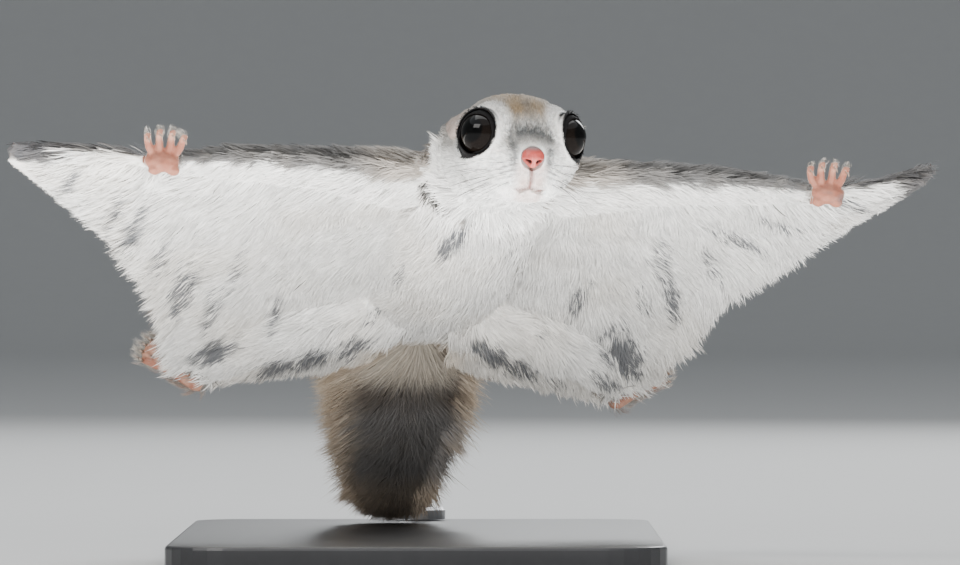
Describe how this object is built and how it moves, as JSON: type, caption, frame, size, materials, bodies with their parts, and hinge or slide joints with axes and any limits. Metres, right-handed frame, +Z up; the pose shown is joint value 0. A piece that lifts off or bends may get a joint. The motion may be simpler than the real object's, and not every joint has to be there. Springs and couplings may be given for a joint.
{
  "type": "flying squirrel",
  "caption": "Small flying squirrel gliding head-on, limbs and gliding membrane spread, flat bushy tail behind, held at the rump by a rod on a flat base",
  "frame": {"origin": "centre of the underside of the stand's base", "axes": "+Z up, -Y the way the animal glides and the stand's front, +X the animal's left; the stand's base is longest along Y"},
  "size_m": [0.2194, 0.2533, 0.1123],
  "materials": {
    "white_fur": "white to cream fur",
    "grey_fur": "grey-brown fur",
    "head_fur": "short pale grey and tan fur",
    "tail_fur": "long grey-brown fur with cream fringe",
    "pink_skin": "bare pink skin",
    "eye": "wet near-black",
    "stand_base": "satin black",
    "stand_rod": "satin steel"
  },
  "bodies": {
    "root": {"stand_base": "stand_base", "stand_collar": "stand_rod", "stand_rod": "stand_rod", "torso": "white_fur", "neck": "white_fur", "head": "head_fur", "nose": "pink_skin", "eye_l": "eye", "eye_r": "eye", "ear_l": "head_fur", "ear_r": "head_fur", "upper_arm_l": "grey_fur", "upper_arm_r": "grey_fur", "forearm_l": "grey_fur", "forearm_r": "grey_fur", "hand_l": "pink_skin", "hand_r": "pink_skin", "thigh_l": "white_fur", "thigh_r": "white_fur", "shank_l": "white_fur", "shank_r": "white_fur", "foot_l": "pink_skin", "foot_r": "pink_skin", "patagium_l": "white_fur", "patagium_r": "white_fur", "rear_flap_l": "white_fur", "rear_flap_r": "white_fur", "wing_tip_l": "white_fur", "wing_tip_r": "white_fur", "tail": "tail_fur"}
  },
  "joints": []
}
